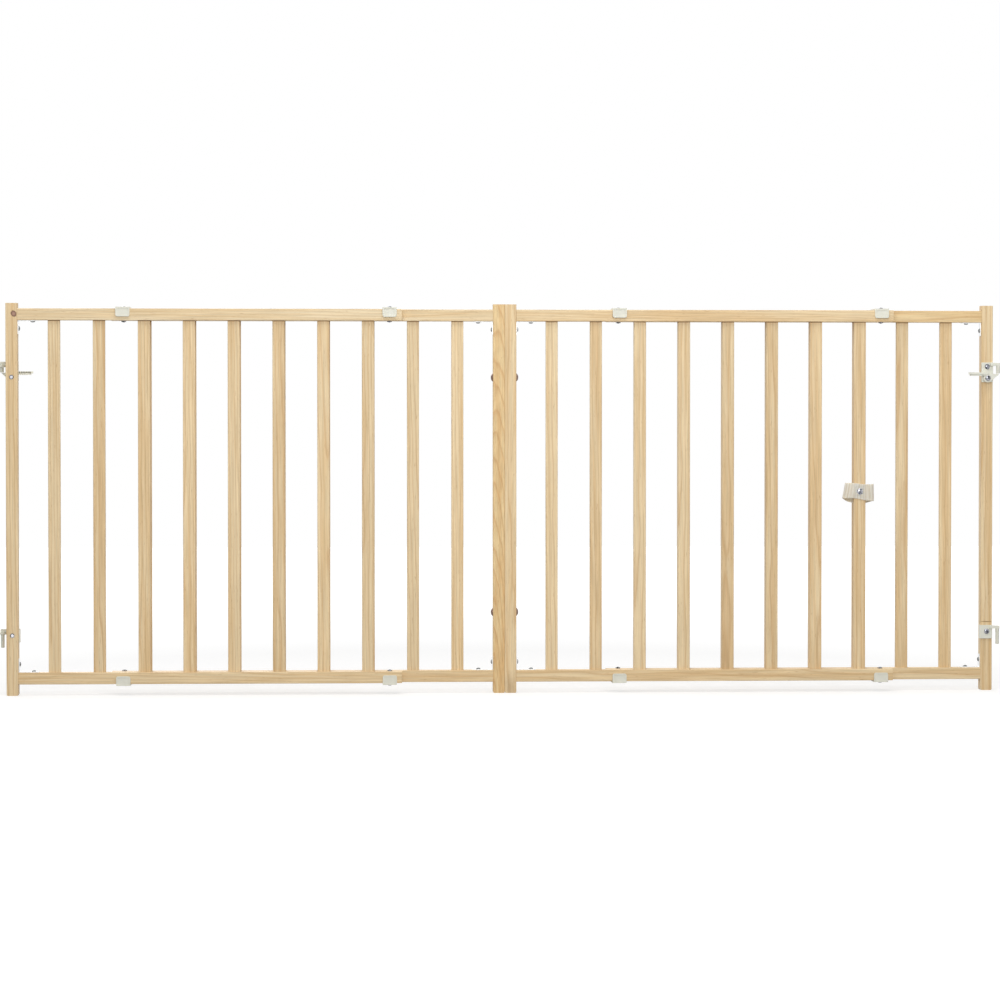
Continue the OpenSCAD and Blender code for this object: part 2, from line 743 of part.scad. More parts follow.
// An eye whose tab's top is at the height eye_top above the post bottoms
module wall_eye(eye_top) {
    eye_r = pin_r + pin_fit + eye_wall;
    color(plastic) translate([0, 0, gate_z + eye_top - eye_t / 2]) difference() {
        union() {
            translate([0, -wall_plate_w / 2, -wall_plate_h / 2])
                cube([wall_plate_t, wall_plate_w, wall_plate_h]);
            translate([0, 0, -eye_t / 2]) linear_extrude(eye_t) {
                translate([pin_to_wall, 0]) circle(eye_r);
                polygon([[0, -eye_root_w / 2], [pin_to_wall - eye_r, -eye_root_w / 2],
                    [pin_to_wall, -eye_r], [pin_to_wall, eye_r],
                    [pin_to_wall - eye_r, eye_root_w / 2], [0, eye_root_w / 2]]);
            }
            for (y = [-eye_root_w / 2 + rib_t, eye_root_w / 2])
                translate([0, y, 0]) plate_xz(rib_t)
                    polygon([[0, 0], [wall_plate_t + rib_len, 0], [0, -wall_plate_t - rib_len]]);
        }
        translate([pin_to_wall, 0, -eye_t / 2 - overcut])
            cylinder(r = pin_r + pin_fit, h = eye_t + 2 * overcut);
        for (z = [-wall_hole_span / 2, wall_hole_span / 2])
            translate([-overcut, 0, z]) rotate([0, 90, 0])
                cylinder(r = wall_hole_r, h = wall_plate_t + 2 * overcut);
    }
}

// ---- Strap ----

// Puts what is drawn at the face of the strap's slat in its place
module on_strap_slat() {
    in_panel(CENTRE_RIGHT)
        translate([slat_x(slat_count - 1) + slat_w / 2, (bar_s - slat_t) / 2, strap_z]) children();
}

// The loop's outline seen from above, whose front lies on y = 0 of the slat's face
module loop_outline(grow) {
    end_r = (slat_t + loop_back) / 2;
    end_x = loop_w / 2 - strap_t - end_r;
    translate([-end_x, -grow]) square([2 * end_x, 2 * (end_r + grow)]);
    for (x = [-end_x, end_x]) translate([x, end_r]) circle(end_r + grow);
}

module strap() {
    color(webbing) on_strap_slat() rotate([0, strap_lean, 0]) translate([0, 0, -strap_w / 2])
        difference() {
            linear_extrude(strap_w) loop_outline(strap_t);
            translate([0, 0, -overcut]) linear_extrude(strap_w + 2 * overcut) loop_outline(0);
            translate([0, 0, strap_w / 2]) rotate([90, 0, 0])
                cylinder(r = strap_screw_r + bolt_fit, h = strap_t + overcut);
        }
}

module strap_screw() {
    color(steel) on_strap_slat() rotate([90, 0, 0]) {
        translate([0, 0, -strap_screw_len]) cylinder(r = strap_screw_r, h = strap_screw_len + strap_t);
        translate([0, 0, strap_t]) pan_head(strap_head_r, strap_head_h);
    }
}

module centre_right_slats() {
    difference() {
        slats(CENTRE_RIGHT);
        on_strap_slat() rotate([90, 0, 0]) translate([0, 0, -strap_screw_len])
            cylinder(r = strap_screw_r, h = strap_screw_len + overcut);
    }
}

// ---- Nodes ----

wall_eye(eye_top_high);  // upper_wall_eye
wall_eye(eye_top_low);  // lower_wall_eye

outer_left_post();
rail(OUTER_LEFT, true);  // outer_left_top_rail
rail(OUTER_LEFT, false);  // outer_left_bottom_rail
slats(OUTER_LEFT);  // outer_left_slats
clip(OUTER_LEFT, true);  // outer_left_top_clip
clip(OUTER_LEFT, false);  // outer_left_bottom_clip
clip_bolt(OUTER_LEFT);  // outer_left_clip_bolts
clip_nut(OUTER_LEFT);  // outer_left_clip_nuts
brace(OUTER_LEFT, true);  // outer_left_top_brace
brace(OUTER_LEFT, false);  // outer_left_bottom_brace
brace_screws(OUTER_LEFT);  // outer_left_brace_screws

at_hinge_side() upper_bracket();  // upper_hinge_bracket
at_hinge_side() lower_bracket();  // lower_hinge_bracket
at_hinge_side() bracket_bolts();  // hinge_bolts
at_hinge_side() sleeve_nuts();  // hinge_sleeve_nuts
at_hinge_side() wood_screw();  // hinge_wood_screw
at_hinge_side() lock_lever();  // hinge_lock_lever

centre_post(CENTRE_LEFT);  // centre_left_post
rail(CENTRE_LEFT, true);  // centre_left_top_rail
rail(CENTRE_LEFT, false);  // centre_left_bottom_rail
slats(CENTRE_LEFT);  // centre_left_slats
clip(CENTRE_LEFT, true);  // centre_left_top_clip
clip(CENTRE_LEFT, false);  // centre_left_bottom_clip
brace(CENTRE_LEFT, true);  // centre_left_top_brace
brace(CENTRE_LEFT, false);  // centre_left_bottom_brace

centre_post(CENTRE_RIGHT);  // centre_right_post
rail(CENTRE_RIGHT, true);  // centre_right_top_rail
rail(CENTRE_RIGHT, false);  // centre_right_bottom_rail
centre_right_slats();
clip(CENTRE_RIGHT, true);  // centre_right_top_clip
clip(CENTRE_RIGHT, false);  // centre_right_bottom_clip
brace(CENTRE_RIGHT, true);  // centre_right_top_brace
brace(CENTRE_RIGHT, false);  // centre_right_bottom_brace

union() {  // centre_clip_bolts
    clip_bolt(CENTRE_LEFT);
    clip_bolt(CENTRE_RIGHT);
}
union() {  // centre_clip_nuts
    clip_nut(CENTRE_LEFT);
    clip_nut(CENTRE_RIGHT);
}
union() {  // centre_brace_screws
    brace_screws(CENTRE_LEFT);
    brace_screws(CENTRE_RIGHT);
}
centre_bolts();
centre_cap_nuts();
strap();
strap_screw();

outer_right_post();
rail(OUTER_RIGHT, true);  // outer_right_top_rail
rail(OUTER_RIGHT, false);  // outer_right_bottom_rail
slats(OUTER_RIGHT);  // outer_right_slats
clip(OUTER_RIGHT, true);  // outer_right_top_clip
clip(OUTER_RIGHT, false);  // outer_right_bottom_clip
clip_bolt(OUTER_RIGHT);  // outer_right_clip_bolts
clip_nut(OUTER_RIGHT);  // outer_right_clip_nuts
brace(OUTER_RIGHT, true);  // outer_right_top_brace
brace(OUTER_RIGHT, false);  // outer_right_bottom_brace
brace_screws(OUTER_RIGHT);  // outer_right_brace_screws

at_latch_side() upper_bracket();  // upper_latch_bracket
at_latch_side() lower_bracket();  // lower_latch_bracket
at_latch_side() bracket_bolts();  // latch_bolts
at_latch_side() sleeve_nuts();  // latch_sleeve_nuts
at_latch_side() wood_screw();  // latch_wood_screw
at_latch_side() lock_lever();  // latch_lever
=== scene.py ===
"""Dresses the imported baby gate: its pine, plastic, metal and webbing, its light and camera.

The gate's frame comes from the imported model. X runs along the gate from the hinge wall,
Y from its front to its back, and Z is up. Lengths in the classes below are millimetres
where a name ends in _mm, and metres otherwise.
"""

from __future__ import annotations

import logging
import math
from collections.abc import Sequence
from dataclasses import dataclass, field, replace
from enum import Enum
from typing import Any

import bpy
from mathutils import Euler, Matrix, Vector

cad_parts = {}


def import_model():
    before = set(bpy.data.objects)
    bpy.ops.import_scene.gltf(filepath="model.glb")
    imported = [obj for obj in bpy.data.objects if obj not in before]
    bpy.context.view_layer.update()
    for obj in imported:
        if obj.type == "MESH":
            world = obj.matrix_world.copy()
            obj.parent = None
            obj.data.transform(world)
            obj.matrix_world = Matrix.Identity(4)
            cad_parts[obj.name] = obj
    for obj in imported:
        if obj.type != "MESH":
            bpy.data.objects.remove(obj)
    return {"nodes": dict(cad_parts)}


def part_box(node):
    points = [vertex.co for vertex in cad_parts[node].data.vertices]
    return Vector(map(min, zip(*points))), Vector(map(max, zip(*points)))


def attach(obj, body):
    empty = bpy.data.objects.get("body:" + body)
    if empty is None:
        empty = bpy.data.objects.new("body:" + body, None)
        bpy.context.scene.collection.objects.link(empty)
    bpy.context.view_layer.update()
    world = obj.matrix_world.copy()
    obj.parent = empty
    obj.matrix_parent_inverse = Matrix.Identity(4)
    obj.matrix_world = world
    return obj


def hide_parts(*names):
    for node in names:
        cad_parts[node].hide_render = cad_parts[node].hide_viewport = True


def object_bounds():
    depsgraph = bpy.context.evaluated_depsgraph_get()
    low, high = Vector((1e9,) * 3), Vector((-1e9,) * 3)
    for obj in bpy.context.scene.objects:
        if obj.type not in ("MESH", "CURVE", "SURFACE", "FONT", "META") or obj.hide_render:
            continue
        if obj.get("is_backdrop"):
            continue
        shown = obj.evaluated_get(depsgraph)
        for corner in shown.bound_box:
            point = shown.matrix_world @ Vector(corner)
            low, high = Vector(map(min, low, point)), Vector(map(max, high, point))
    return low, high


log = logging.getLogger("baby_gate")

MM = 0.001
# The colour of the painted shadow that a top rail casts on the tops of its slats.
SEAT_SHADOW_PAINT = "#9A6E45"
RESIN = "#A87F50"
CUT_STEEL = "#DADADF"
# How far apart two seeds lie: along a log, and in a row of chance values.
LOG_STEP_MM = 977.0
CHANCE_STEP = 31.0

Socket = bpy.types.NodeSocket
Tree = bpy.types.NodeTree


def linear(hex_colour: str) -> tuple[float, float, float, float]:
    """Turn an sRGB hex colour into linear RGBA.

    Args:
        hex_colour: A colour written as "#RRGGBB".

    Returns:
        The linear red, green and blue, with alpha 1.
    """
    parts = [int(hex_colour[i : i + 2], 16) / 255 for i in (1, 3, 5)]
    r, g, b = (c / 12.92 if c <= 0.04045 else ((c + 0.055) / 1.055) ** 2.4 for c in parts)
    return r, g, b, 1.0


def add_node(
    tree: Tree, kind: str, inputs: dict[Any, Any] | None = None, **settings: Any
) -> bpy.types.Node:
    """Add one shader node with its settings, values and links.

    Args:
        tree: The node tree that it goes into.
        kind: The node's Blender type, without the "ShaderNode" in front.
        inputs: What each input gets, by its name or number: a socket to link or a value.
        **settings: The node's own properties.

    Returns:
        The new node.
    """
    made = tree.nodes.new("ShaderNode" + kind)
    for name, value in settings.items():
        setattr(made, name, value)
    for key, value in (inputs or {}).items():
        if isinstance(value, Socket):
            tree.links.new(value, made.inputs[key])
        else:
            made.inputs[key].default_value = value
    return made


def math_node(tree: Tree, operation: str, *values: Any) -> Socket:
    """Return the result of a Math node on up to three values or sockets."""
    return add_node(tree, "Math", dict(enumerate(values)), operation=operation).outputs[0]


def mix_colours(tree: Tree, factor: Any, first: Any, second: Any, blend: str = "MIX") -> Socket:
    """Return the colour output of a Mix node between two colours or colour sockets."""
    mixed = add_node(tree, "Mix", {0: factor, 6: first, 7: second},
                     data_type="RGBA", blend_type=blend)
    return mixed.outputs[2]


def map_range(tree: Tree, value: Socket, start: tuple[float, float],
              end: tuple[float, float] = (0.0, 1.0), smooth: bool = False) -> Socket:
    """Turn one range of a value into another, held at its ends.

    Args:
        tree: The node tree that it goes into.
        value: The value.
        start: The range that the value has.
        end: The range that it gets.
        smooth: Whether it eases in and out.

    Returns:
        The new value.
    """
    kind = "SMOOTHSTEP" if smooth else "LINEAR"
    inputs = {0: value, 1: start[0], 2: start[1], 3: end[0], 4: end[1]}
    return add_node(tree, "MapRange", inputs, interpolation_type=kind).outputs[0]


def object_place(tree: Tree) -> Socket:
    """Return the place on the object, in metres in the gate's frame."""
    return add_node(tree, "TexCoord").outputs["Object"]


def ramp(tree: Tree, factor: Socket, stops: list[tuple[float, float]]) -> Socket:
    """Turn a factor into a grey through a Color Ramp.

    Args:
        tree: The node tree that it goes into.
        factor: The factor.
        stops: The ramp's stops as (position, brightness), the first and last at its ends.

    Returns:
        The grey.
    """
    made = add_node(tree, "ValToRGB", {0: factor})
    elements = made.color_ramp.elements
    while len(elements) < len(stops):
        elements.new(0.5)
    for element, (position, level) in zip(elements, stops):
        element.position = position
        element.color = (level, level, level, 1)
    return made.outputs[0]


def new_material(name: str) -> tuple[bpy.types.Material, Tree, bpy.types.Node]:
    """Make an empty node material.

    Args:
        name: The material's name.

    Returns:
        The material, its tree and its Principled BSDF.
    """
    material = bpy.data.materials.new(name)
    material.use_nodes = True
    tree = material.node_tree
    return material, tree, tree.nodes["Principled BSDF"]


# ---- Finishes ----


class Grain(Enum):
    """The way a piece's grain runs, as the turn that brings it to Z."""

    UPRIGHT = (0.0, 0.0, 0.0)
    LEVEL = (0.0, -math.pi / 2, 0.0)


@dataclass(frozen=True)
class Mark:
    """A knot, pitch streak, thin dark line or soft darker patch on a piece's front face.

    Attributes:
        at_mm: Its middle, as X and Z in the gate's frame.
        half_mm: Half its length and half its width.
        turn: How far its length is turned from X towards Z, in degrees.
        colour: Its colour, or the colour of its rim where it has a core.
        strength: How far that colour covers the wood, from 0 to 1.
        fade: The share of its size in which it fades out.
        core: The colour of a knot's heart.
        edge_mm: The size of the waves in its outline.
    """

    at_mm: tuple[float, float]
    half_mm: tuple[float, float]
    turn: float
    colour: str
    strength: float = 0.85
    fade: float = 0.3
    core: str | None = None
    edge_mm: float = 3.846


@dataclass(frozen=True)
class PineTone:
    """The colours of one board.

    Attributes:
        early: Its pale early wood.
        warm: Its warmer streaks.
        late: The dark late wood of its ring lines.
    """

    early: str
    warm: str
    late: str


PALE = PineTone("#E6D2AD", "#DCC296", "#CBA776")
PLAIN = PineTone("#E6CFA6", "#DABC8D", "#C49C68")
AMBER = PineTone("#E5CC9D", "#DCBB86", "#C4965A")
HONEY = PineTone("#E3C794", "#D7B27B", "#C08F55")


@dataclass(frozen=True)
class Growth:
    """How a piece lay in its log.

    Attributes:
        pith_mm: How far the pith is from the piece's corner: across its face, and behind it.
        lean: How the pith leans away from the piece's length: in depth, and across its face.
        ring_mm: How wide the growth rings are.
    """

    pith_mm: tuple[float, float] = (30.0, 55.0)
    lean: tuple[float, float] = (0.006, 0.01)
    ring_mm: float = 5.2


@dataclass(frozen=True)
class PlanedPine:
    """Clear-sealed radiata pine, planed and sanded.

    Growth rings stand round a pith beside the piece, so a face along them shows tall
    arches and a face across them shows straight lines. The sealer leaves a low satin
    sheen, which is a little stronger on the hard, dark late wood of each ring.

    Attributes:
        name: The material's name.
        grain: The way that the grain runs.
        growth: How the piece lay in its log.
        tone: Its colours.
        late_share: How strongly the late wood shows, from 0 to 1.
        slat_grid_mm: The middle of the first slat and the pitch of the slats, along X.
        seat_z: The height at which slats enter their top rail.
        seat_shadow_mm: Where the painted shadow of the top rail starts and is full, below that height.
        scatter_mm: How far the slats lie apart in their logs: across, behind and along.
        fibre_mm: The size of the fibres' fine shade, across and along the grain.
        band_mm: The size of the pale and warm bands, likewise.
        dash_mm: The size of the resin's dashes, likewise.
        sway_mm: The size of the rings' short waves, likewise, and how far they reach.
        drift_mm: The size of the rings' long waves, likewise, and how far they reach.
        seed: A number that sets the piece's pattern apart.
        marks: What is on its front face.
    """

    name: str
    grain: Grain
    growth: Growth = Growth()
    tone: PineTone = PLAIN
    late_share: float = 0.6
    slat_grid_mm: tuple[float, float] | None = None
    seat_z: float | None = None
    seat_shadow_mm: tuple[float, float] = (2.1, 0.5)
    scatter_mm: tuple[float, float, float] = (90.0, 60.0, 900.0)
    fibre_mm: tuple[float, float] = (1.613, 83.33)
    band_mm: tuple[float, float] = (10.0, 250.0)
    dash_mm: tuple[float, float] = (1.111, 14.286)
    sway_mm: tuple[float, float, float] = (33.33, 222.2, 9.0)
    drift_mm: tuple[float, float, float] = (90.91, 1667.0, 26.0)
    seed: float = 0.0
    marks: tuple[Mark, ...] = ()

    def material(self) -> bpy.types.Material:
        """Build the pine material.

        Returns:
            The material.
        """
        made, tree, shader = new_material(self.name)
        place, chance = self._per_slat(tree, object_place(tree))
        grown = self._in_log(tree, place, chance)
        rings = self._rings(tree, grown)
        fibre = self._noise(tree, grown, self.fibre_mm, 4.0)
        colour = self._wood(tree, grown, rings, chance)
        colour = self._shaded(tree, colour, fibre, chance)
        if self.seat_z is not None:
            # The top rail's shadow on the tops of the slats is painted into their colour.
            colour = self._painted_seat_shadow(tree, place, colour)
        for mark in self.marks:
            colour = self._marked(tree, mark, colour)
        tree.links.new(colour, shader.inputs["Base Color"])
        rough = math_node(tree, "MULTIPLY_ADD", rings, -0.10, 0.56)
        tree.links.new(rough, shader.inputs["Roughness"])
        raised = math_node(tree, "MULTIPLY", rings, 0.5)
        relief = math_node(tree, "MULTIPLY_ADD", fibre, 0.6, raised)
        bump = add_node(tree, "Bump", {"Height": relief, "Strength": 0.35, "Distance": 0.25 * MM})
        tree.links.new(bump.outputs[0], shader.inputs["Normal"])
        shader.inputs["IOR"].default_value = 1.5
        shader.inputs["Coat Weight"].default_value = 0.08
        shader.inputs["Coat Roughness"].default_value = 0.4
        return made

    def _in_log(self, tree: Tree, place: Socket, chance: Socket | None) -> Socket:
        """Put the board where it lay in its log.

        Args:
            tree: The material's node tree.
            place: The place on the gate, centred on each slat where there are slats.
            chance: Each slat's three chance values, where there are slats.

        Returns:
            The place in the log in millimetres, with the pith along Z through 0.
        """
        upright = add_node(tree, "Mapping", {
            "Vector": place, "Rotation": self.grain.value, "Scale": (1 / MM, 1 / MM, 1 / MM),
        }).outputs[0]
        grown = add_node(tree, "Mapping", {
            "Vector": upright, "Rotation": (*self.growth.lean, 0.0),
            "Location": (*self.growth.pith_mm, self.seed * LOG_STEP_MM),
        }).outputs[0]
        if chance is None:
            return grown
        centred = add_node(tree, "VectorMath", {0: chance, 1: (0.5, 0.5, 0.5)}, operation="SUBTRACT")
        return add_node(tree, "VectorMath", {
            0: centred.outputs[0], 1: self.scatter_mm, 2: grown,
        }, operation="MULTIPLY_ADD").outputs[0]

    def _wood(self, tree: Tree, grown: Socket, rings: Socket, chance: Socket | None) -> Socket:
        """Colour the wood with its pale and warm bands, its rings and its resin.

        Args:
            tree: The material's node tree.
            grown: The place in the log.
            rings: How much late wood there is.
            chance: Each slat's three chance values, where there are slats.

        Returns:
            The wood's colour.
        """
        band = self._noise(tree, grown, self.band_mm, 3.0)
        if chance is not None:
            warmth = add_node(tree, "SeparateXYZ", {0: chance}).outputs[1]
            shift = math_node(tree, "MULTIPLY_ADD", warmth, 0.24, -0.12)
            band = math_node(tree, "ADD", band, shift)
        warm = map_range(tree, band, (0.36, 0.66), smooth=True)
        colour = mix_colours(tree, warm, linear(self.tone.early), linear(self.tone.warm))
        late = math_node(tree, "MULTIPLY", rings, self.late_share)
        colour = mix_colours(tree, late, colour, linear(self.tone.late))
        return mix_colours(tree, self._resin_dashes(tree, grown), colour, linear(RESIN))

    def _shaded(self, tree: Tree, colour: Socket, fibre: Socket, chance: Socket | None) -> Socket:
        """Shade the wood finely along its fibres, and each slat as a whole.

        Args:
            tree: The material's node tree.
            colour: The wood's colour.
            fibre: The fibres' pattern.
            chance: Each slat's three chance values, where there are slats.

        Returns:
            The shaded colour.
        """
        fine = map_range(tree, fibre, (0.3, 0.7), smooth=True)
        shade = math_node(tree, "MULTIPLY_ADD", fine, 0.2, 0.88)
        if chance is not None:
            tone = add_node(tree, "SeparateXYZ", {0: chance}).outputs[2]
            own = math_node(tree, "MULTIPLY_ADD", tone, 0.1, 0.94)
            shade = math_node(tree, "MULTIPLY", shade, own)
        grey = add_node(tree, "CombineXYZ", {0: shade, 1: shade, 2: shade}).outputs[0]
        return mix_colours(tree, 1.0, colour, grey, "MULTIPLY")

    def _painted_seat_shadow(self, tree: Tree, place: Socket, colour: Socket) -> Socket:
        """Paint the dark shadow that the top rail casts on a slat where it enters the rail.

        Args:
            tree: The material's node tree.
            place: The place on the gate.
            colour: The wood's colour.

        Returns:
            The colour with the painted shadow.
        """
        height = add_node(tree, "SeparateXYZ", {0: place}).outputs[2]
        low, high = (self.seat_z - below * MM for below in self.seat_shadow_mm)
        # Painted shadow: darkest just below where the slat enters the top rail.
        painted_shadow = map_range(tree, height, (low, high), smooth=True)
        return mix_colours(tree, math_node(tree, "MULTIPLY", painted_shadow, 0.95), colour, linear(SEAT_SHADOW_PAINT))

    def _per_slat(self, tree: Tree, place: Socket) -> tuple[Socket, Socket | None]:
        """Centre the pattern on each slat and draw its chance values.

        Args:
            tree: The material's node tree.
            place: The place on the gate.

        Returns:
            The centred place and three chance values, or the place as it is and None
            for a board that isn't a row of slats.
        """
        if self.slat_grid_mm is None:
            return place, None
        first, pitch = (v * MM for v in self.slat_grid_mm)
        xyz = add_node(tree, "SeparateXYZ", {0: place}).outputs
        along = math_node(tree, "MULTIPLY_ADD", xyz[0], 1 / pitch, -first / pitch)
        index = math_node(tree, "ROUND", along)
        beside = math_node(tree, "MULTIPLY", math_node(tree, "SUBTRACT", along, index), pitch)
        centred = add_node(tree, "CombineXYZ", {0: beside, 1: xyz[1], 2: xyz[2]}).outputs[0]
        drawn = add_node(tree, "TexWhiteNoise", {
            "W": math_node(tree, "ADD", index, self.seed * CHANCE_STEP + 0.5),
        }, noise_dimensions="1D").outputs["Color"]
        return centred, drawn

    def _noise(self, tree: Tree, place: Socket, size_mm: Sequence[float], detail: float) -> Socket:
        """Make a noise that is stretched along the board.

        Args:
            tree: The material's node tree.
            place: The place in the log in millimetres.
            size_mm: The size of its cells, across and along the grain.
            detail: How many finer layers it has.

        Returns:
            The noise, from 0 to 1.
        """
        across, along = size_mm
        stretched = add_node(tree, "VectorMath", {
            0: place, 1: (1 / across, 1 / across, 1 / along),
        }, operation="MULTIPLY")
        return add_node(tree, "TexNoise", {
            "Vector": stretched.outputs[0], "Scale": 1.0, "Detail": detail, "Roughness": 0.55,
        }).outputs["Fac"]

    def _resin_dashes(self, tree: Tree, place: Socket) -> Socket:
        """Return how strongly the short dark dashes of resin canals show, from 0 to 1."""
        dashes = self._noise(tree, place, self.dash_mm, 1.0)
        return map_range(tree, dashes, (0.66, 0.8), (0.0, 0.6))

    def _rings(self, tree: Tree, place: Socket) -> Socket:
        """Draw the growth rings, each of which darkens slowly and ends at once.

        Args:
            tree: The material's node tree.
            place: The place in the log in millimetres.

        Returns:
            How much late wood there is, from 0 to 1.
        """
        *sway_size, sway_reach = self.sway_mm
        *drift_size, drift_reach = self.drift_mm
        sway = self._noise(tree, place, sway_size, 2.0)
        drift = self._noise(tree, place, drift_size, 1.0)
        flat = add_node(tree, "VectorMath", {0: place, 1: (1.0, 1.0, 0.0)}, operation="MULTIPLY")
        out = add_node(tree, "VectorMath", {0: flat.outputs[0]}, operation="LENGTH").outputs["Value"]
        out = math_node(tree, "MULTIPLY_ADD", sway, sway_reach, out)
        out = math_node(tree, "MULTIPLY_ADD", drift, drift_reach, out)
        year = math_node(tree, "FRACT", math_node(tree, "DIVIDE", out, self.growth.ring_mm))
        return ramp(tree, year, [(0.0, 0.1), (0.3, 0.0), (0.7, 0.2), (0.9, 1.0), (1.0, 0.1)])

    def _marked(self, tree: Tree, mark: Mark, colour: Socket) -> Socket:
        """Lay one mark over the wood.

        Args:
            tree: The material's node tree.
            mark: The mark.
            colour: The wood's colour.

        Returns:
            The colour with the mark.
        """
        place = object_place(tree)
        xyz = add_node(tree, "SeparateXYZ", {0: place}).outputs
        flat = add_node(tree, "CombineXYZ", {0: xyz[0], 1: xyz[2]}).outputs[0]
        local = add_node(tree, "Mapping", {
            "Vector": flat,
            "Location": (mark.at_mm[0] * MM, mark.at_mm[1] * MM, 0.0),
            "Rotation": (0.0, 0.0, math.radians(mark.turn)),
            "Scale": (mark.half_mm[0] * MM, mark.half_mm[1] * MM, 1.0),
        }, vector_type="TEXTURE").outputs[0]
        reach = add_node(tree, "VectorMath", {0: local}, operation="LENGTH").outputs["Value"]
        rough = add_node(tree, "TexNoise", {
            "Vector": place, "Scale": 1 / (mark.edge_mm * MM), "Detail": 2.0,
        }).outputs["Fac"]
        reach = math_node(tree, "MULTIPLY_ADD", rough, 0.5, math_node(tree, "SUBTRACT", reach, 0.25))
        cover = map_range(tree, reach, (1.0, 1 - mark.fade), (0.0, mark.strength))
        paint: Any = linear(mark.colour)
        if mark.core is not None:
            heart = map_range(tree, reach, (0.72, 0.3))
            paint = mix_colours(tree, heart, linear(mark.colour), linear(mark.core))
        return mix_colours(tree, cover, colour, paint)


@dataclass(frozen=True)
class MouldedPolypropylene:
    """Injection-moulded off-white polypropylene with a fine spark-eroded mould texture.

    The texture breaks up highlights and the milky plastic lets a little light in, so
    thin edges look soft.

    Attributes:
        name: The material's name.
        colour: The plastic's main colour.
        shade: The colour of its faint clouds.
        cloud_mm: The size of the clouds.
        texture_mm: The size of the texture's grains.
    """

    name: str = "moulded_polypropylene"
    colour: str = "#E5E4D8"
    shade: str = "#DAD9CB"
    cloud_mm: float = 14.0
    texture_mm: float = 0.6

    def material(self) -> bpy.types.Material:
        """Build the plastic material.

        Returns:
            The material.
        """
        made, tree, shader = new_material(self.name)
        place = object_place(tree)
        cloud = add_node(tree, "TexNoise", {
            "Vector": place, "Scale": 1 / (self.cloud_mm * MM), "Detail": 2.0,
        }).outputs["Fac"]
        colour = mix_colours(tree, cloud, linear(self.colour), linear(self.shade))
        tree.links.new(colour, shader.inputs["Base Color"])
        # The real texture is finer than this: it is drawn as coarse as it needs to show.
        grit = add_node(tree, "TexNoise", {
            "Vector": place, "Scale": 1 / (self.texture_mm * MM), "Detail": 1.0,
        }).outputs["Fac"]
        bump = add_node(tree, "Bump", {"Height": grit, "Strength": 0.25, "Distance": 0.05 * MM})
        tree.links.new(bump.outputs[0], shader.inputs["Normal"])
        tree.links.new(math_node(tree, "MULTIPLY_ADD", cloud, 0.1, 0.38), shader.inputs["Roughness"])
        shader.inputs["IOR"].default_value = 1.49
        shader.inputs["Subsurface Weight"].default_value = 0.12
        shader.inputs["Subsurface Radius"].default_value = (1.0, 0.9, 0.7)
        shader.inputs["Subsurface Scale"].default_value = 1.2 * MM
        return made


@dataclass(frozen=True)
class PlatedSteel:
    """Plated steel, mottled and worn smooth in places; on the nickel its sharp patches are painted
    reflections.

    Attributes:
        name: The material's name.
        colour: The plating's main colour.
        mottle_and_reflection: The colour of its patches: the plating's mottle on the zinc and the bronze,
            and painted dark reflections on the nickel.
        patch_mm: The size of the patches.
        smooth: The roughness where it is worn smooth.
        rough: The roughness elsewhere.
        soft: How softly the patches run into each other, from 0 to 0.5.
        cut_ends: Where bare, bright cut ends start, as (direction, y): on the side of
            y in metres that the sign of direction gives.
    """

    name: str
    colour: str
    mottle_and_reflection: str
    patch_mm: float
    smooth: float
    rough: float
    soft: float = 0.5
    cut_ends: tuple[float, float] | None = None

    def material(self) -> bpy.types.Material:
        """Build the plated steel material.

        Returns:
            The material.
        """
        made, tree, shader = new_material(self.name)
        place = object_place(tree)
        patch = add_node(tree, "TexNoise", {
            "Vector": place, "Scale": 1 / (self.patch_mm * MM), "Detail": 3.0,
        }).outputs["Fac"]
        cover = map_range(tree, patch, (0.5 - self.soft, 0.5 + self.soft))
        colour = mix_colours(tree, cover, linear(self.colour), linear(self.mottle_and_reflection))
        if self.cut_ends is not None:
            direction, start = self.cut_ends
            y = add_node(tree, "SeparateXYZ", {0: place}).outputs[1]
            outwards = math_node(tree, "MULTIPLY", y, direction)
            past = math_node(tree, "GREATER_THAN", outwards, direction * start)
            colour = mix_colours(tree, past, colour, linear(CUT_STEEL))
        tree.links.new(colour, shader.inputs["Base Color"])
        rough = map_range(tree, patch, (0.3, 0.7), (self.smooth, self.rough))
        tree.links.new(rough, shader.inputs["Roughness"])
        shader.inputs["Metallic"].default_value = 1.0
        bump = add_node(tree, "Bump", {"Height": patch, "Strength": 0.2, "Distance": 0.05 * MM})
        tree.links.new(bump.outputs[0], shader.inputs["Normal"])
        return made


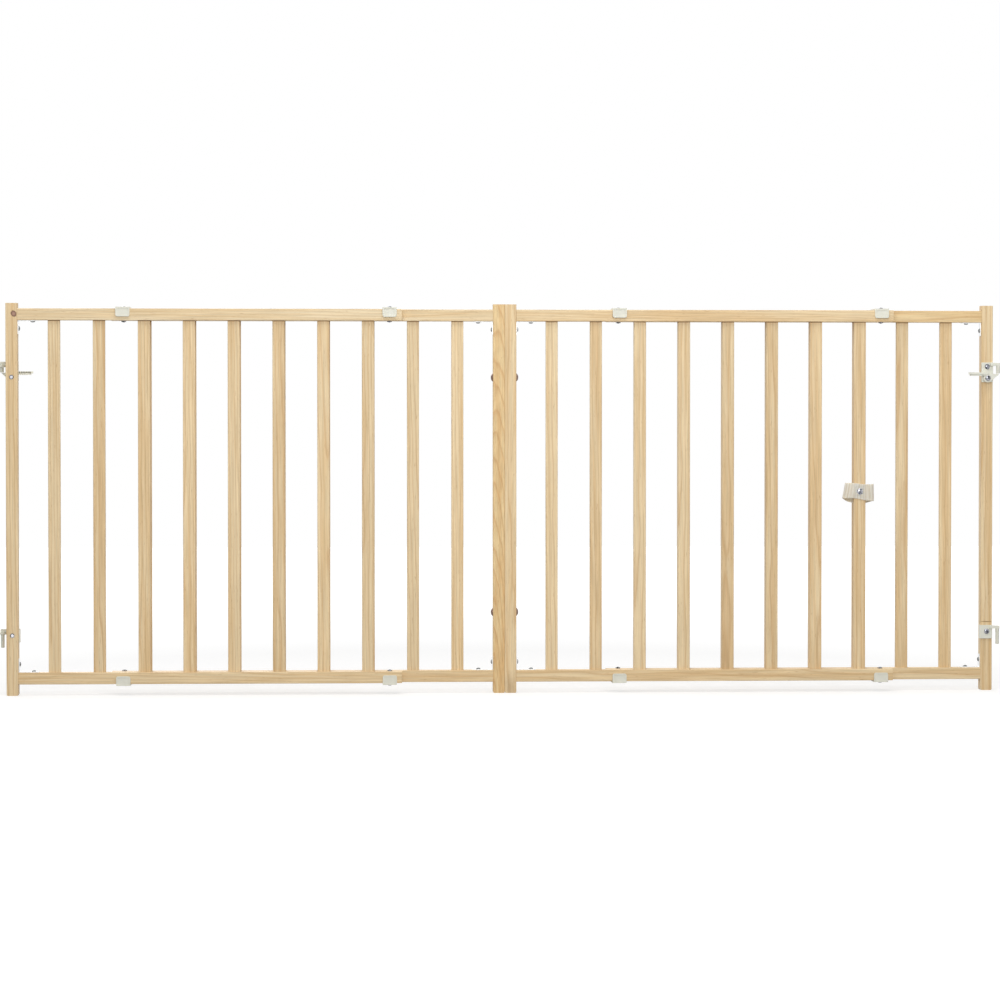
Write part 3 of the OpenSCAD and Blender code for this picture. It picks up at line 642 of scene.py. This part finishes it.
@dataclass(frozen=True)
class CottonWebbing:
    """Natural cotton webbing in a plain weave, 25 mm wide, with a raised cord look.

    Warp cords of about 1.3 mm run along the strap under picks of the same size. Uneven
    picks show as pale and dark ribs about 3 mm apart, the cloth's fuzz gives it a soft
    sheen at grazing angles, and a little light comes through it. The UV map is in
    millimetres, along and then across the strap.

    Attributes:
        name: The material's name.
        colour: The colour of the cords' tops.
        hollow_shade: The darker colour of the hollows between them, which is painted shade.
        rib: The tint of the dark ribs.
        cord_mm: The width of a cord.
        rib_mm: The distance from rib to rib.
        fuzz_mm: The size of the cloth's fuzz.
    """

    name: str = "woven_cotton_webbing"
    colour: str = "#F2EBDD"
    hollow_shade: str = "#D9D1C0"
    rib: str = "#E3D9CB"
    cord_mm: float = 1.3
    rib_mm: float = 3.0
    fuzz_mm: float = 0.4545

    def material(self) -> bpy.types.Material:
        """Build the webbing material.

        Returns:
            The material.
        """
        made, tree, shader = new_material(self.name)
        uv = add_node(tree, "UVMap", uv_map="weave").outputs[0]
        xy = add_node(tree, "SeparateXYZ", {0: uv}).outputs
        turn = math.pi / self.cord_mm
        along = math_node(tree, "SINE", math_node(tree, "MULTIPLY", xy[0], turn))
        across = math_node(tree, "SINE", math_node(tree, "MULTIPLY", xy[1], turn))
        weave = math_node(tree, "ABSOLUTE", math_node(tree, "MULTIPLY", along, across))
        weave = math_node(tree, "POWER", weave, 0.6)
        fuzz = add_node(tree, "TexNoise", {
            "Vector": uv, "Scale": 1 / self.fuzz_mm, "Detail": 3.0,
        }).outputs["Fac"]
        height = math_node(tree, "MULTIPLY_ADD", fuzz, 0.3, weave)
        filled = math_node(tree, "MINIMUM", height, 1.0)
        # Painted shade: the hollows between the cords are coloured darker than the cords' tops.
        cloth = mix_colours(tree, filled, linear(self.hollow_shade), linear(self.colour))
        stretched = add_node(tree, "CombineXYZ", {
            0: math_node(tree, "DIVIDE", xy[0], self.rib_mm),
            1: math_node(tree, "DIVIDE", xy[1], self.rib_mm * 20),
        }).outputs[0]
        ribs = add_node(tree, "TexNoise", {"Vector": stretched, "Scale": 1.4, "Detail": 1.0}).outputs["Fac"]
        ribs = map_range(tree, ribs, (0.4, 0.62), (0.0, 0.7))
        colour = mix_colours(tree, ribs, cloth, linear(self.rib), "MULTIPLY")
        tree.links.new(colour, shader.inputs["Base Color"])
        bump = add_node(tree, "Bump", {"Height": height, "Strength": 0.6, "Distance": 0.3 * MM})
        tree.links.new(bump.outputs[0], shader.inputs["Normal"])
        shader.inputs["Roughness"].default_value = 0.88
        shader.inputs["Sheen Weight"].default_value = 0.3
        shader.inputs["Sheen Roughness"].default_value = 0.5
        shader.inputs["Subsurface Weight"].default_value = 0.8
        shader.inputs["Subsurface Radius"].default_value = (1.0, 0.92, 0.8)
        shader.inputs["Subsurface Scale"].default_value = 5.0 * MM
        return made


# ---- Sub-assemblies ----


def dress(node: bpy.types.Object, material: bpy.types.Material) -> None:
    """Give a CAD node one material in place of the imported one."""
    node.data.materials.clear()
    node.data.materials.append(material)


def ease_edges(node: bpy.types.Object, radius_mm: float, segments: int = 2) -> None:
    """Round a CAD node's sharp edges with live modifiers.

    Args:
        node: The CAD node, whose own mesh stays as it is.
        radius_mm: The radius of the rounding.
        segments: How many faces the rounding has.
    """
    weld = node.modifiers.new("joined", "WELD")
    weld.merge_threshold = 0.002 * MM
    bevel = node.modifiers.new("eased", "BEVEL")
    bevel.width = radius_mm * MM
    bevel.segments = segments
    bevel.limit_method = "ANGLE"
    bevel.angle_limit = math.radians(40)
    bevel.harden_normals = False
    bevel.use_clamp_overlap = True


@dataclass
class Panel:
    """One slatted panel: a post, two rails and eight slats in their mortises.

    Attributes:
        name: How the names of its nodes start.
        seed: A number that sets its boards' patterns apart from the other panels'.
        slat_count: How many slats it has.
        slat_w_mm: The width of a slat.
        post_tone: The colours of its post.
        top_tone: The colours of its top rail.
        post_marks: What is on its post's front face.
        low_rail_marks: What is on its bottom rail's front face.
        post_growth: How its post lay in its log, from the post's own left face.
        top_growth: How its top rail lay in its log.
        low_growth: How its bottom rail lay in its log.
        slat_growth: How its slats lay in their logs.
        rail_late_share: How strongly the late wood of its rails shows.
    """

    name: str
    seed: float
    slat_count: int = 8
    slat_w_mm: float = 21.2
    post_tone: PineTone = PLAIN
    top_tone: PineTone = PLAIN
    post_marks: tuple[Mark, ...] = ()
    low_rail_marks: tuple[Mark, ...] = ()
    post_growth: Growth = Growth((30.0, 60.0))
    top_growth: Growth = Growth((590.0, 60.0), (0.012, 0.0), 4.4)
    low_growth: Growth = Growth((-60.0, 50.0), (0.01, 0.0), 4.4)
    slat_growth: Growth = Growth((12.0, 40.0))
    rail_late_share: float = 0.5

    def dress(self, nodes: dict[str, bpy.types.Object]) -> None:
        """Give the panel's wood its grain.

        Args:
            nodes: The CAD nodes' objects by name.
        """
        for part, pine in self._pines().items():
            dress(nodes[f"{self.name}_{part}"], replace(pine, name=f"{self.name}_{part}_pine").material())
        log.info("%s: post, rails and %d slats in pine", self.name, self.slat_count)

    def _pines(self) -> dict[str, PlanedPine]:
        """Choose the pine of each kind of board.

        Returns:
            The pines by the ending of their node's name.
        """
        low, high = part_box(f"{self.name}_slats")
        first = low.x / MM + self.slat_w_mm / 2
        pitch = (high.x / MM - self.slat_w_mm / 2 - first) / (self.slat_count - 1)
        beside, behind = self.post_growth.pith_mm
        post_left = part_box(f"{self.name}_post")[0].x / MM
        post_growth = replace(self.post_growth, pith_mm=(beside - post_left, behind))
        rail = PlanedPine("", Grain.LEVEL, late_share=self.rail_late_share)
        return {
            "post": PlanedPine("", Grain.UPRIGHT, post_growth, self.post_tone,
                               seed=self.seed, marks=self.post_marks),
            "slats": PlanedPine("", Grain.UPRIGHT, self.slat_growth, slat_grid_mm=(first, pitch),
                                seat_z=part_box(f"{self.name}_top_rail")[0].z, seed=self.seed + 0.2),
            "top_rail": replace(rail, growth=self.top_growth, tone=self.top_tone, seed=self.seed + 0.4),
            "bottom_rail": replace(rail, growth=self.low_growth, seed=self.seed + 0.6,
                                   marks=self.low_rail_marks),
        }


@dataclass
class Hardware:
    """The plastic and metal fittings, each kind with its finish and its eased edges.

    Attributes:
        plastic: The clips, brackets, levers and wall eyes.
        zinc: The corner braces.
        nickel: The bolts, nuts and wood screws, whose sharp dark and light patches are painted reflections.
        bright: The strap's screw, a lighter nickel whose patches are painted reflections likewise.
        screws: The braces' screws.
        bronze: The bolts through the centre posts.
        cut_end_mm: How much of each bracket bolt's far end is a bare, bright cut end.
    """

    plastic: MouldedPolypropylene = field(default_factory=MouldedPolypropylene)
    zinc: PlatedSteel = PlatedSteel(
        "zinc_plated_steel", "#F1F2F3", "#DDE0E2", 2.2, smooth=0.24, rough=0.4)
    # On the nickel and the bright nickel, the sharp dark and light patches are painted reflections.
    nickel: PlatedSteel = PlatedSteel(
        "mottled_nickel_plated_steel", "#A8A9AF", "#3C3E46", 3.2, smooth=0.12, rough=0.22, soft=0.08)
    bright: PlatedSteel = PlatedSteel(
        "bright_nickel_plated_steel", "#D2D3D8", "#5A5C66", 3.2, smooth=0.14, rough=0.26, soft=0.1)
    screws: PlatedSteel = PlatedSteel(
        "grey_zinc_plated_steel", "#868787", "#6C6D6A", 1.6, smooth=0.2, rough=0.34)
    bronze: PlatedSteel = PlatedSteel(
        "antique_bronzed_steel", "#927B72", "#6C5850", 2.5, smooth=0.26, rough=0.44)
    cut_end_mm: float = 1.0

    def dress(self, nodes: dict[str, bpy.types.Object]) -> None:
        """Give every fitting its material, by the ending of its node's name.

        Args:
            nodes: The CAD nodes' objects by name.
        """
        for name, direction in (("hinge_bolts", -1.0), ("latch_bolts", 1.0)):
            low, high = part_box(name)
            end = high.y if direction > 0 else low.y
            cut = replace(self.nickel, name=f"{name}_{self.nickel.name}",
                          cut_ends=(direction, end - direction * self.cut_end_mm * MM))
            dress(nodes[name], cut.material())
            ease_edges(nodes[name], 0.12)
        finishes = {
            "moulded": (self.plastic.material(), 0.45, ("_clip", "_bracket", "_lever", "_eye")),
            "zinc": (self.zinc.material(), 0.25, ("_brace",)),
            "screws": (self.screws.material(), 0.12, ("brace_screws",)),
            "bronze": (self.bronze.material(), 0.2, ("centre_bolts", "centre_cap_nuts")),
            "bright": (self.bright.material(), 0.12, ("strap_screw",)),
            "nickel": (self.nickel.material(), 0.12, ("clip_bolts", "clip_nuts", "_nuts", "_screw")),
        }
        for name, node in nodes.items():
            for material, radius, endings in finishes.values():
                if name.endswith(endings):
                    dress(node, material)
                    ease_edges(node, radius)
                    break
        log.info("fittings dressed")


@dataclass
class Strap:
    """A webbing strap, closed into a loop round one slat and held by a screw.

    Its front lies on the slat, a little lower on its right than on its left, and its
    back hangs down behind, most on its left.

    Attributes:
        width_mm: The webbing's width.
        thick_mm: The webbing's thickness.
        loop_mm: The width of the loop.
        shift_mm: How far the loop's middle is from the screw.
        depth_mm: The depth of the loop.
        lean: How far its ends lean, in degrees.
        step_mm: Half the fall of its front from its left to its right.
        bend_mm: Half the width in which most of that fall happens.
        drop_mm: How far its back hangs below its front.
        skew: Where its back hangs lowest: at its middle for 1, and further left below 1.
        flare: How much longer it is along its lower edge than along its upper one.
        spread: How much wider it is pulled at its right end.
        along: How many faces there are round the loop.
        across: How many faces there are across the webbing.
    """

    width_mm: float = 27.2
    thick_mm: float = 1.6
    loop_mm: float = 53.8
    shift_mm: float = -0.7
    depth_mm: float = 13.2
    lean: float = 5.0
    step_mm: float = 1.9
    bend_mm: float = 11.0
    drop_mm: float = 8.6
    skew: float = 0.8
    flare: float = 0.055
    spread: float = 0.12
    along: int = 96
    across: int = 10

    def build(self) -> bpy.types.Object:
        """Model the strap in place of its CAD ring.

        Returns:
            The strap's object.
        """
        low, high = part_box("strap")
        middle = Vector(((low.x + high.x) / 2, low.y + self.thick_mm * MM, (low.z + high.z) / 2))
        bpy.ops.object.select_all(action="DESELECT")
        bpy.ops.mesh.primitive_grid_add(x_subdivisions=self.along, y_subdivisions=self.across, size=1.0)
        band = bpy.context.object
        band.name = band.data.name = "strap_webbing"
        uv = band.data.uv_layers[0]
        uv.name = "weave"
        length = self._path_length()
        for loop in band.data.loops:
            x, y, _ = band.data.vertices[loop.vertex_index].co
            uv.data[loop.index].uv = ((x + 0.5) * length, (y + 0.5) * self.width_mm)
        for vertex in band.data.vertices:
            share, rise = vertex.co.x + 0.5, vertex.co.y * self.width_mm
            vertex.co = middle + self._place(share * length, rise) * MM
        bpy.ops.object.mode_set(mode="EDIT")
        bpy.ops.mesh.select_all(action="SELECT")
        bpy.ops.mesh.remove_doubles(threshold=0.01 * MM)
        bpy.ops.mesh.normals_make_consistent(inside=False)
        bpy.ops.object.mode_set(mode="OBJECT")
        skin = band.modifiers.new("thickness", "SOLIDIFY")
        skin.thickness = self.thick_mm * MM
        skin.offset = 0.0
        bpy.ops.object.modifier_apply(modifier=skin.name)
        bevel = band.modifiers.new("selvedge", "BEVEL")
        bevel.width = 0.5 * MM
        bevel.segments = 3
        bevel.limit_method = "ANGLE"
        bevel.angle_limit = math.radians(50)
        bpy.ops.object.modifier_apply(modifier=bevel.name)
        bpy.ops.object.shade_smooth()
        band.data.materials.append(CottonWebbing().material())
        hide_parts("strap")
        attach(band, "centre_panels")
        log.info("strap: %d faces", len(band.data.polygons))
        return band

    def _sizes(self) -> tuple[float, float, float]:
        """Work out the loop's own sizes.

        Returns:
            The radius of its ends, half of its straight part, and half of its length.
        """
        radius = (self.depth_mm + self.thick_mm) / 2
        straight = self.loop_mm / 2 - self.thick_mm / 2 - radius
        return radius, straight, math.pi * radius + 2 * straight

    def _path_length(self) -> float:
        """Return the length round the loop's middle line."""
        return 2 * self._sizes()[2]

    def _place(self, s: float, rise: float) -> Vector:
        """Return the place of a point of the strap, in millimetres from the screw.

        Args:
            s: The distance along the loop from the middle of its front.
            rise: The height above the strap's middle line.

        Returns:
            The point, where Y is 0 at the slat's face and more behind it.
        """
        radius, straight, half = self._sizes()
        side = 1.0 if s <= half else -1.0
        s = s if s <= half else 2 * half - s
        front = -self.thick_mm / 2
        if s <= straight:
            x, y = s, front
        elif s <= straight + math.pi * radius:
            angle = (s - straight) / radius
            x, y = straight + radius * math.sin(angle), front + radius * (1 - math.cos(angle))
        else:
            x, y = half - s, front + 2 * radius
        x *= side
        reach = straight + radius
        rise *= 1 + self.spread * max(x, 0.0) / reach
        share = min(max((x + reach) / (2 * reach), 0.0), 1.0)
        back = (y - front) / (2 * radius)
        z = rise - self.drop_mm * back * math.sin(math.pi * share**self.skew)
        x *= 1 - self.flare * 2 * rise / self.width_mm
        x += self.shift_mm + z * math.sin(math.radians(self.lean))
        return Vector((x, y, z - self.step_mm * math.tanh(x / self.bend_mm)))


# ---- Studio ----


@dataclass(frozen=True)
class Softbox:
    """A softbox that hangs over the floor.

    Attributes:
        name: The light's name.
        watts: Its power.
        size_m: Its width and height.
        at: The place of its middle.
        aim: The point that it faces.
    """

    name: str
    watts: float
    size_m: tuple[float, float]
    at: tuple[float, float, float]
    aim: tuple[float, float, float]

    def hang(self) -> None:
        """Add the light, which the camera itself doesn't see."""
        data = bpy.data.lights.new(self.name, "AREA")
        data.shape = "RECTANGLE"
        data.size, data.size_y = self.size_m
        data.energy = self.watts
        light = bpy.data.objects.new(self.name, data)
        light.location = self.at
        light.rotation_euler = (Vector(self.aim) - Vector(self.at)).to_track_quat("-Z", "Y").to_euler()
        light.visible_camera = False
        bpy.context.scene.collection.objects.link(light)


@dataclass
class Studio:
    """A pale floor, soft light and the camera.

    Attributes:
        eye: The camera's place.
        yaw: How far the camera turns from facing +Y, in degrees.
        pitch: How far the camera looks up, in degrees.
        lens: Its focal length in millimetres.
        far_m: How far it sees.
        middle: The floor's middle, below the gate's.
        floor_m: The floor's width.
        floor_colour: The floor's own colour.
        world_level: How strongly the surroundings light the gate.
        key: The softbox in front, long and low.
        overhead: The softbox above.
        back_strength: The strength of the light from behind, in watts to the square metre.
        back_softness: The angle that it spreads over, in degrees.
        back_turn: Its turn about X and Z from pointing straight down, in degrees.
        glow: How much the floor glows for the camera: by the gate, and far from it.
        shadow_m: The distances from the middle at which those two start and end.
    """

    eye: tuple[float, float, float] = (0.6398, -5.5241, 0.3539)
    yaw: float = -2.748
    pitch: float = -1.253
    lens: float = 112.8
    far_m: float = 100.0
    middle: tuple[float, float] = (0.9, 0.0)
    floor_m: float = 14.0
    floor_colour: str = "#BDBDBD"
    world_level: float = 0.42
    key: Softbox = Softbox("key", 44.0, (2.6, 0.4), (1.1, -3.1, 1.45), (0.9, 0.0, 0.25))
    overhead: Softbox = Softbox("overhead", 27.0, (2.4, 1.1), (0.8, -0.9, 2.4), (0.9, 0.0, 0.3))
    back_strength: float = 1.1
    back_softness: float = 40.0
    back_turn: tuple[float, float] = (-62.0, 20.0)
    glow: tuple[float, float] = (0.54, 0.85)
    shadow_m: tuple[float, float] = (1.1, 2.6)

    def build(self, floor_z: float) -> None:
        """Set up the floor, the light and the camera.

        Args:
            floor_z: The height that the gate stands on.
        """
        self._world()
        self._floor(floor_z)
        self.key.hang()
        self.overhead.hang()
        self._back_light()
        self._camera()
        bpy.context.scene.view_settings.view_transform = "Standard"
        log.info("studio ready")

    def _seen_rays(self, tree: Tree) -> Socket:
        """Tell the rays that show the background from those that light the gate.

        Args:
            tree: The node tree that it goes into.

        Returns:
            1 for camera, glossy and transmission rays, and 0 for all others.
        """
        rays = add_node(tree, "LightPath").outputs
        seen = math_node(tree, "MAXIMUM", rays["Is Camera Ray"], rays["Is Glossy Ray"])
        return math_node(tree, "MAXIMUM", seen, rays["Is Transmission Ray"])

    def _world(self) -> None:
        """Light the object evenly and show a white background."""
        world = bpy.data.worlds.new("studio_world")
        bpy.context.scene.world = world
        world.use_nodes = True
        tree = world.node_tree
        level = map_range(tree, self._seen_rays(tree), (0.0, 1.0), (self.world_level, 1.0))
        tree.links.new(level, tree.nodes["Background"].inputs["Strength"])
        tree.nodes["Background"].inputs["Color"].default_value = (1, 1, 1, 1)

    def _floor(self, floor_z: float) -> None:
        """Lay a pale floor, which glows less near the gate so that its shadow shows.

        Args:
            floor_z: The height that the gate stands on.
        """
        bpy.ops.mesh.primitive_plane_add(size=self.floor_m, location=(*self.middle, floor_z))
        floor = bpy.context.object
        floor.name = "studio_floor"
        made, tree, shader = new_material("matt_studio_floor")
        shader.inputs["Base Color"].default_value = linear(self.floor_colour)
        shader.inputs["Roughness"].default_value = 0.9
        shader.inputs["Specular IOR Level"].default_value = 0.0
        away = add_node(tree, "VectorMath", {0: object_place(tree)}, operation="LENGTH")
        level = map_range(tree, away.outputs["Value"], self.shadow_m, self.glow)
        strength = math_node(tree, "MULTIPLY", self._seen_rays(tree), level)
        glow = add_node(tree, "Emission", {"Strength": strength})
        both = add_node(tree, "AddShader", {0: shader.outputs[0], 1: glow.outputs[0]})
        tree.links.new(both.outputs[0], tree.nodes["Material Output"].inputs["Surface"])
        floor.data.materials.append(made)
        floor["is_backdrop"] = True

    def _back_light(self) -> None:
        """Add the soft, even light from behind."""
        data = bpy.data.lights.new("back", "SUN")
        data.energy = self.back_strength
        data.angle = math.radians(self.back_softness)
        light = bpy.data.objects.new("back", data)
        about_x, about_z = (math.radians(degrees) for degrees in self.back_turn)
        light.rotation_euler = Euler((about_x, 0.0, about_z))
        bpy.context.scene.collection.objects.link(light)

    def _camera(self) -> None:
        """Add the camera."""
        data = bpy.data.cameras.new("camera")
        data.lens = self.lens
        data.clip_end = self.far_m
        camera = bpy.data.objects.new("camera", data)
        camera.location = self.eye
        camera.rotation_euler = (math.radians(90 + self.pitch), 0.0, math.radians(self.yaw))
        bpy.context.scene.collection.objects.link(camera)
        bpy.context.scene.camera = camera


def panels() -> list[Panel]:
    """Describe the four panels, each with its own boards and marks.

    Returns:
        The panels, from the hinge side to the latch side.
    """
    knot = Mark((55.5, 559.2), (6.4, 5.4), -50.0, "#5E3A26", 0.95, core="#A27C6C")
    streak = Mark((988.0, -60.2), (11.0, 2.2), -22.0, "#9A7148", 0.7)
    # A thin dark line across the outer-right post's front face.
    thin_dark_line = Mark((1775.4, 14.5), (11.4, 0.9), 0.0, "#8C6A3C", 0.9)
    # A soft darker patch low on the centre-right post's front face.
    soft_dark_patch = Mark((922.0, -96.0), (30.0, 14.0), 90.0, "#A98F6C", 0.6, fade=1.0)
    return [
        Panel("outer_left", 1.0, top_tone=PALE, post_marks=(knot,)),
        Panel("centre_left", 2.0, post_tone=HONEY, top_tone=PALE,
              post_growth=Growth((5.0, 45.0), (-0.075, 0.0), 3.6),
              top_growth=Growth((586.0, 64.0), (-0.016, 0.0), 4.2)),
        Panel("centre_right", 3.0, post_marks=(soft_dark_patch,), low_rail_marks=(streak,),
              post_growth=Growth((-14.0, 58.0), (0.016, -0.016)),
              top_growth=Growth((588.0, 46.0), (0.016, 0.0), 4.0)),
        Panel("outer_right", 4.0, top_tone=AMBER, post_marks=(thin_dark_line,),
              top_growth=Growth((584.0, 74.0), (-0.014, 0.0), 4.6)),
    ]


def main() -> None:
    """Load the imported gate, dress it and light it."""
    logging.basicConfig(level=logging.INFO, format="%(message)s")
    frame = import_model()
    cad_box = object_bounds()
    nodes = frame["nodes"]
    Studio().build(cad_box[0].z)
    Strap().build()
    for panel in panels():
        panel.dress(nodes)
    Hardware().dress(nodes)


if __name__ == "__main__":
    main()
